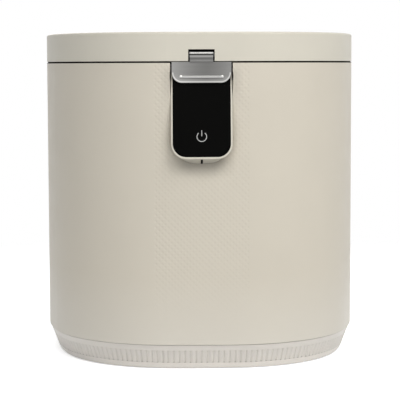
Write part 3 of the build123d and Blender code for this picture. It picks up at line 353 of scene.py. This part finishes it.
# ---- brushed steel of the latch, with painted reflections and shade -----------------------------
def latch_finish(name, reflection_of):
    """Brushed steel with streaks along x, and painted reflections and shade given from place to place by
    the second argument.
    """
    m = Shader(name)
    fine = m.noise(scale=900.0, detail=3.0, vector=m.scaled(0.02, 1.0, 1.0), roughness=0.6)
    tone = m.math("ADD", reflection_of(m), m.range(fine, 0.3, 0.7, -0.012, 0.012))
    m.put(base_color=m.ramp(tone, [(0.0, (0.0, 0.0, 0.0)), (1.0, (1.0, 0.99, 0.955))]))
    m.put(metallic=1.0, roughness=m.range(fine, 0.3, 0.7, 0.30, 0.42))
    m.add_height(fine, 0.000004)
    m.bump()
    return m.mat


def plate_painted_reflection(m):
    """Painted reflection, darkest a little right of the middle, with a painted highlight line round the
    lower corners and edge.
    """
    x, y, z = m.axes()
    darkest_x, dark_tone, side_gain = 0.005, 0.185, 0.16
    across = m.range(m.off(x, darkest_x), 0.0, PLATE_HALF * MM + darkest_x, 0.0, 1.0)
    base = m.math("ADD", m.product(m.math("POWER", across, 1.5), side_gain), dark_tone)
    # painted reflection: lighter towards the lower edge
    lower_gain = m.range(z, 0.2725, 0.2800, 0.10, 0.0)
    # painted shade above and below the bead
    bead_shadow = m.product(m.range(m.off(z, 0.2762), 0.0, 0.0009, 0.07, 0.0),
                            m.range(m.math("ABSOLUTE", x), 0.0180, 0.0205, 1.0, 0.0))
    corner_x, corner_z = (PLATE_HALF - PLATE_CORNER) * MM, (PLATE_LOW + PLATE_CORNER) * MM
    out = m.math("MAXIMUM", m.math("SUBTRACT", m.math("ABSOLUTE", x), corner_x), 0.0)
    down = m.math("MAXIMUM", m.math("SUBTRACT", corner_z, z), 0.0)
    far = m.math("SQRT", m.math("ADD", m.product(out, out), m.product(down, down)))
    # painted highlight line round the lower corners
    ring = m.math("SUBTRACT", m.range(far, 0.0078, 0.0083, 0.0, 0.30),
                  m.range(far, 0.0090, 0.0095, 0.0, 0.34))
    edge_highlight = m.product(ring, m.math("GREATER_THAN", down, 0.0))
    return m.math("ADD", m.math("SUBTRACT", m.math("ADD", base, lower_gain), bead_shadow), edge_highlight)


def strap_painted_reflection(m):
    """Painted reflection bands by the barrel's form: dull strap, brighter lower half of the barrel, painted
    shade in the slit, bright upper half.
    """
    z = m.axes()[2]
    axis, radius = BARREL_Z * MM, BARREL_R * MM
    under = m.range(z, axis - radius, axis - radius / 2, 0.16, 0.40)
    lower = m.product(under, m.range(z, axis - radius / 2, axis, 1.0, 0.12))
    upper = m.range(z, axis + radius / 4, axis + radius, 0.35, 0.60)
    above = m.math("GREATER_THAN", z, axis + radius / 3)
    return m.math("ADD", m.product(lower, m.math("SUBTRACT", 1.0, above)), m.product(upper, above))


def bead_painted_highlight(m):
    """Painted highlights: a bright line along the bar a third of its radius below its axis, and bright
    balls at its ends.
    """
    x, y, z = m.axes()
    axis, radius = BEAD_Z * MM, BEAD_R * MM
    bar = m.range(m.off(z, axis - radius / 3), radius / 6, radius / 2, 0.50, 0.26)
    ball = m.range(m.math("ABSOLUTE", x), 0.0176, 0.0182, 0.0, 0.56)
    return m.math("MAXIMUM", bar, m.product(ball, m.range(z, 0.2764, 0.2776, 0.3, 1.0)))


steel_plate = latch_finish("latch_plate_steel", plate_painted_reflection)
steel_strap = latch_finish("latch_strap_steel", strap_painted_reflection)
steel_bead = latch_finish("latch_bead_steel", bead_painted_highlight)

# ---- felt and the black panel -------------------------------------------------------------------
felt = Shader("felt")
felt.put(base_color=felt.ramp(felt.noise(scale=350.0, detail=5.0),
                              [(0.3, (0.50, 0.48, 0.43)), (0.7, (0.68, 0.66, 0.60))]))
felt.put(roughness=0.95)
felt.add_height(felt.noise(scale=700.0, detail=6.0, roughness=0.8), 0.0006)
felt.bump()

panel = Shader("panel_black")
panel.put(base_color=panel.ramp(panel.noise(scale=6.0), [(0.3, (0.0016, 0.0016, 0.0014)),
                                                         (0.7, (0.0028, 0.0028, 0.0024))]))
panel.put(roughness=panel.range(panel.noise(scale=30.0, detail=3.0), 0.3, 0.7, 0.10, 0.16))
panel.put(specular_ior_level=0.03)
panel.add_height(panel.noise(scale=40.0, detail=1.0), 0.000002)
panel.bump()

NODES_OF = (
    (dark, ("base_plate", "gearbox_tray", "fan_plenum", "fan_frame", "power_inlet", "lid_switch",
            "bail_grip", "agitator_dog", "fan_rotor")),
    (grey, ("top_deck", "exhaust_duct", "filter_sleeve", "lid_liner", "drive_gear", "switch_plunger")),
    # the steel latch_pin takes the black rubber as painted shade in the gaps beside the strap
    (rubber, ("rubber_feet", "shaft_seal", "lid_gasket", "latch_pin")),
    (steel, ("base_screws", "inlet_pins", "latch_keeper", "hinge_pin", "liner_screws", "bail",
             "bucket_foot_ring")),
    (turned_steel, ("drive_shaft",)),
    (cast, ("pot_well", "heater_plate", "gearbox_cover", "bucket", "agitator")),
    (felt.mat, ("insulation_jacket",)),
    (motor_paint, ("motor",)),
    (board, ("control_board", "display_board")),
    (bronze, ("bucket_bushing", "motor_pinion")),
    (carbon, ("carbon_cartridge",)),
    (steel_plate, ("latch_plate",)),
    (panel.mat, ("pod_glass",)),
)
for material, names in NODES_OF:
    for name in names:
        mats[name] = material

for name, node in nodes.items():
    material = mats.get(name, grey)
    if not node.material_slots:
        node.data.materials.append(material)
    for slot in node.material_slots:
        slot.material = material


# ---- mesh helpers -------------------------------------------------------------------------------
def new_object(name, bm):
    mesh = bpy.data.meshes.new(name)
    bm.to_mesh(mesh)
    bm.free()
    o = bpy.data.objects.new(name, mesh)
    scene.collection.objects.link(o)
    return o


def finish_piece(name, bm, material, body, bevel=0.0, smooth_angle=35.0):
    """Turns a bmesh in millimetres into a piece that rides on a body."""
    bmesh.ops.scale(bm, vec=(MM, MM, MM), verts=bm.verts)
    bmesh.ops.recalc_face_normals(bm, faces=bm.faces)
    o = new_object(name, bm)
    for p in o.data.polygons:
        p.use_smooth = True
    o.data.set_sharp_from_angle(angle=math.radians(smooth_angle))
    if bevel:
        mod = o.modifiers.new("edge", "BEVEL")
        mod.width, mod.segments, mod.limit_method = bevel * MM, 3, "ANGLE"
        mod.angle_limit = math.radians(40.0)
        mod.harden_normals = True
    o.data.materials.append(material)
    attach(o, body)
    return o


def bridge(bm, loops):
    """Quads between each closed loop of vertices and the next."""
    for a, b in zip(loops, loops[1:]):
        for j in range(len(a)):
            k = (j + 1) % len(a)
            bm.faces.new((a[j], b[j], b[k], a[k]))


def cap(bm, loops):
    bm.faces.new(loops[0])
    bm.faces.new(loops[-1][::-1])


# ---- latch: rounded plate, strap with the rolled barrel, bead -----------------------------------
def plate_y(x):
    return PLATE_C - math.sqrt(PLATE_R ** 2 - x ** 2)


def plate_low(x):
    """Lower outline of the plate with its round corners."""
    over = abs(x) - (PLATE_HALF - PLATE_CORNER)
    if over <= 0:
        return PLATE_LOW
    return PLATE_LOW + PLATE_CORNER - math.sqrt(max(0.0, PLATE_CORNER ** 2 - over ** 2))


PLATE_ROWS = 8
bm = bmesh.new()
flat = PLATE_HALF - PLATE_CORNER
turns = [flat + PLATE_CORNER * math.sin(math.radians(a)) for a in range(9, 91, 9)]
columns = [-x for x in reversed(turns)] + [flat * (k / 8 - 1) for k in range(17)] + turns
front_grid, back_grid = [], []
for x in columns:
    low = plate_low(x)
    line = [low + (PLATE_TOP - low) * j / PLATE_ROWS for j in range(PLATE_ROWS + 1)]
    front_grid.append([bm.verts.new((x, plate_y(x), z)) for z in line])
    back_grid.append([bm.verts.new((x, plate_y(x) + PLATE_T, z)) for z in line])
for grid, way in ((front_grid, 1), (back_grid, -1)):
    for a, b in zip(grid, grid[1:]):
        for j in range(PLATE_ROWS):
            bm.faces.new((a[j], b[j], b[j + 1], a[j + 1])[::way])
last = len(columns) - 1
rim = [(k, 0) for k in range(last + 1)] + [(last, j) for j in range(1, PLATE_ROWS + 1)]
rim += [(k, PLATE_ROWS) for k in range(last - 1, -1, -1)] + [(0, j) for j in range(PLATE_ROWS - 1, 0, -1)]
for (i, j), (k, m) in zip(rim, rim[1:] + rim[:1]):
    bm.faces.new((front_grid[i][j], back_grid[i][j], back_grid[k][m], front_grid[k][m]))
latch_main = finish_piece("latch_plate_body", bm, steel_plate, "latch", bevel=0.5)
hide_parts("latch_plate")


def on_barrel(angle, r):
    """Point at an angle that is counted from the front upwards round the barrel."""
    a = math.radians(angle)
    return BARREL_Y - r * math.cos(a), BARREL_Z + r * math.sin(a)


# side section of the strap in (y, z): up its face, round the open roll and down its back
profile = [(-165.62, 290.6), (-165.62, 291.9), (-165.54, 292.6), (-165.32, 293.4), (-165.20, 294.2),
           (-165.24, 295.0), (-165.36, 295.8), (-165.46, 296.6)]
profile += [on_barrel(a, BARREL_R) for a in (-20, -13, -6)] + [on_barrel(-2, BARREL_R - 0.12)]
profile += [on_barrel(1, BARREL_R - 0.35), on_barrel(2, BORE_R)]
profile += [on_barrel(a, BORE_R) for a in range(-14, -340, -16)]
profile += [on_barrel(-347, BORE_R), on_barrel(14, BARREL_R - 0.35), on_barrel(17, BARREL_R - 0.1)]
profile += [on_barrel(a, BARREL_R) for a in range(22, 290, 8)]
profile += [(-163.62, 294.9), (-163.75, 293.8), (-163.98, 292.8), (-164.12, 291.7), (-164.12, 290.6)]
STRAIGHT_Z, CURVED_OVER = 296.0, 4.0   # the strap takes up the plate's curve over this below this height
bm = bmesh.new()
slices = []
for k in range(9):
    x = STRAP_HALF * (k / 4 - 1)
    sag = plate_y(x) - plate_y(0.0)
    slices.append([bm.verts.new((x, y + sag * min(1.0, max(0.0, (STRAIGHT_Z - z) / CURVED_OVER)), z))
                   for y, z in profile])
bridge(bm, slices)
cap(bm, slices)
finish_piece("latch_strap_roll", bm, steel_strap, "latch", smooth_angle=50.0)

# half the bead's outline in (x, radius): round the ball, into the bar and to its middle
bead_line = []
for k in range(37):
    a = math.radians(180.0 - 5.0 * k)
    bead_line.append((-BEAD_HALF + BALL_R * math.cos(a), BALL_R * math.sin(a)))
bead_line = [p for p in bead_line if p[0] < -BEAD_HALF or p[1] > BEAD_R]
neck = bead_line[-1][0]
bead_line += [(neck + 0.5, BEAD_R + 0.02)]
bead_line += [(neck + 0.9 + (-neck - 0.9) * k / 6, BEAD_R) for k in range(6)]
bead_line += [(0.0, BEAD_R)] + [(-x, r) for x, r in reversed(bead_line)]
BEAD_SIDES, TIP_R = 24, 0.01
bm = bmesh.new()
rings = []
for x, r in bead_line:
    r = max(r, TIP_R)
    base = plate_y(x) + BEAD_IN
    steps = [2 * math.pi * t / BEAD_SIDES for t in range(BEAD_SIDES)]
    rings.append([bm.verts.new((x, base - r * math.cos(t), BEAD_Z + r * math.sin(t))) for t in steps])
bridge(bm, rings)
cap(bm, rings)
finish_piece("latch_bead", bm, steel_bead, "latch", smooth_angle=60.0)


# ---- dark strip in the lid's seam: painted shade of the seam gap --------------------------------
def corner_centre():
    """Centre of the corner arc that is tangent to the front arc and to the side arc."""
    fy, to_f = HALF_DEPTH - FRONT_R, FRONT_R - CORNER_R
    sx, to_s = HALF_WIDTH - SIDE_R, SIDE_R - CORNER_R
    d = math.hypot(sx, fy)
    ux, uy = sx / d, -fy / d
    along = (to_f ** 2 - to_s ** 2 + d ** 2) / (2 * d)
    off = math.sqrt(to_f ** 2 - along ** 2)
    both = ((along * ux + k * off * uy, fy + along * uy - k * off * ux) for k in (-1, 1))
    return max(both, key=lambda p: p[0])


def outline(inset):
    """Points round the housing's outline, moved in by inset."""
    cx, cy = corner_centre()
    fy, sx = HALF_DEPTH - FRONT_R, HALF_WIDTH - SIDE_R
    turn_side, turn_front = math.atan2(cy, cx - sx), math.atan2(cy - fy, cx)
    arcs = (((sx, 0.0), SIDE_R, 0.0, turn_side, 10),
            ((cx, cy), CORNER_R, turn_side, turn_front, 14),
            ((0.0, fy), FRONT_R, turn_front, math.pi / 2, 12))
    quarter = []
    for (x, y), r, a, b, count in arcs:
        for k in range(count):
            t = a + (b - a) * k / count
            quarter.append((x + (r - inset) * math.cos(t), y + (r - inset) * math.sin(t)))
    quarter.append((0.0, HALF_DEPTH - inset))
    half = quarter + [(-x, y) for x, y in reversed(quarter[:-1])]
    return half + [(x, -y) for x, y in reversed(half[1:-1])]


SEAM_SHADE_SECTION = ((1.1, SEAM_LOW), (0.9, (SEAM_LOW + SEAM_HIGH) / 2), (1.1, SEAM_HIGH),
                (2.2, SEAM_HIGH), (2.2, SEAM_LOW))      # inset from the outline, height
bm = bmesh.new()
loops = [[bm.verts.new((x, y, z)) for x, y in outline(inset)] for inset, z in SEAM_SHADE_SECTION]
bridge(bm, loops + loops[:1])
finish_piece("lid_seam_shade_strip", bm, seam_rubber, "lid")

# ---- power sign on the panel --------------------------------------------------------------------
TILT = math.radians(11.0)
POD_LOW = Vector((0.0, -0.17628, 0.2017))
POD_UP = Vector((0.0, math.sin(TILT), math.cos(TILT)))
POD_OUT = Vector((0.0, -math.cos(TILT), math.sin(TILT)))
SIGN_AT = (0.2223 - POD_LOW.z) / POD_UP.z    # its centre, up the slope from POD_LOW
SIGN_R, SIGN_LINE = 0.0045, 0.00076
SIGN_OUT = -0.00006                          # its plane, minus is inwards
BAR_TOP, BAR_LOW = 0.0060, 0.0004


def sign_place(x, along):
    return POD_LOW + POD_UP * along + POD_OUT * SIGN_OUT + Vector((x, 0.0, 0.0))


def ribbon(name, points):
    """Thin flat printed line on the panel through (x, along) points."""
    bm = bmesh.new()
    pairs = []
    for k, (x, a) in enumerate(points):
        before, after = points[max(0, k - 1)], points[min(len(points) - 1, k + 1)]
        d = Vector((after[0] - before[0], after[1] - before[1])).normalized()
        side = Vector((-d.y, d.x)) * SIGN_LINE / 2
        pairs.append((bm.verts.new(sign_place(x + side.x, a + side.y)),
                      bm.verts.new(sign_place(x - side.x, a - side.y))))
    for a, b in zip(pairs, pairs[1:]):
        bm.faces.new((a[0], a[1], b[1], b[0]))
    return new_object(name, bm)


sign = finished(plastic, "sign_white", (0.42, 0.42, 0.405), rough=0.4)
arc = [(SIGN_R * math.sin(math.radians(t)), SIGN_AT + SIGN_R * math.cos(math.radians(t)))
       for t in range(40, 321, 5)]
bar = [(0.0, SIGN_AT + BAR_TOP), (0.0, SIGN_AT + BAR_LOW)]
for name, points in (("power_sign_ring", arc), ("power_sign_bar", bar)):
    piece = ribbon(name, points)
    piece.data.materials.append(sign)
    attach(piece, "housing")

# ---- floor: white to the camera, with the object's shadow near it -------------------------------
FLOOR_HALF, FLOOR_Z, FLOOR_TONE, FLOOR_GLOW = 12.0, -0.0002, 0.90, 0.55
SHADOW_FULL, SHADOW_NONE = 0.35, 0.9         # distances from the middle

bm = bmesh.new()
bmesh.ops.create_grid(bm, x_segments=2, y_segments=2, size=FLOOR_HALF)
floor = new_object("floor", bm)
floor.location = (0.0, 0.0, FLOOR_Z)
floor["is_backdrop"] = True
f = Shader("floor_white")
f.put(base_color=(FLOOR_TONE, FLOOR_TONE, FLOOR_TONE, 1.0), roughness=0.9, specular_ior_level=0.1)


def emission(strength):
    n = f.node("ShaderNodeEmission")
    n.inputs["Color"].default_value = (1.0, 1.0, 1.0, 1.0)
    n.inputs["Strength"].default_value = strength
    return n.outputs[0]


def mix_shaders(tree, share, a, b):
    n = tree.nodes.new("ShaderNodeMixShader")
    for value, socket in zip((share, a, b), n.inputs):
        tree.links.new(value, socket)
    return n.outputs[0]


def seen_rays(tree):
    """1 for the rays that show the background: from the camera, by reflection or through glass."""
    path = tree.nodes.new("ShaderNodeLightPath")
    seen = path.outputs["Is Camera Ray"]
    for ray in ("Is Glossy Ray", "Is Transmission Ray"):
        add = tree.nodes.new("ShaderNodeMath")
        add.operation, add.use_clamp = "ADD", True
        tree.links.new(seen, add.inputs[0])
        tree.links.new(path.outputs[ray], add.inputs[1])
        seen = add.outputs[0]
    return seen


lit = f.node("ShaderNodeAddShader")
f.join(f.bsdf.outputs[0], lit.inputs[0])
f.join(emission(FLOOR_GLOW), lit.inputs[1])
near = f.node("ShaderNodeVectorMath", operation="LENGTH")
f.join(f.where, near.inputs[0])
far = f.range(near.outputs["Value"], SHADOW_FULL, SHADOW_NONE, 0.0, 1.0)
shown = mix_shaders(f.tree, far, lit.outputs[0], emission(1.0))
f.join(mix_shaders(f.tree, seen_rays(f.tree), f.bsdf.outputs[0], shown), f.out.inputs["Surface"])
floor.data.materials.append(f.mat)

# ---- world and lamps ----------------------------------------------------------------------------
WORLD_TINT, WORLD_STRENGTH = (0.90, 0.95, 1.05), 0.21
world = bpy.data.worlds.new("studio")
scene.world = world
world.use_nodes = True
tree = world.node_tree
tree.nodes.clear()


def background(colour, strength):
    n = tree.nodes.new("ShaderNodeBackground")
    n.inputs["Color"].default_value = (*colour, 1.0)
    n.inputs["Strength"].default_value = strength
    return n.outputs[0]


world_out = tree.nodes.new("ShaderNodeOutputWorld")
soft, white = background(WORLD_TINT, WORLD_STRENGTH), background((1.0, 1.0, 1.0), 1.0)
tree.links.new(mix_shaders(tree, seen_rays(tree), soft, white), world_out.inputs["Surface"])

LAMP_AIM = Vector((0.0, 0.0, 0.15))
LAMPS = (("key_right", (1.15, -1.35, 1.95), (1.2, 1.2), 31.6),
         ("front", (0.0, -1.7, 2.0), (1.4, 1.2), 19.2),
         ("fill_left", (-1.4, -1.2, 1.9), (1.2, 1.2), 5.0),
         ("rear", (-0.4, 2.0, 1.6), (1.5, 1.5), 24.0))    # name, place, size, watts
for name, place, size, watts in LAMPS:
    data = bpy.data.lights.new(name, "AREA")
    data.shape = "RECTANGLE"
    data.size, data.size_y = size
    data.energy = watts
    lamp = bpy.data.objects.new(name, data)
    scene.collection.objects.link(lamp)
    lamp.location = place
    lamp.rotation_euler = (LAMP_AIM - Vector(place)).to_track_quat("-Z", "Y").to_euler()

low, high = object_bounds()
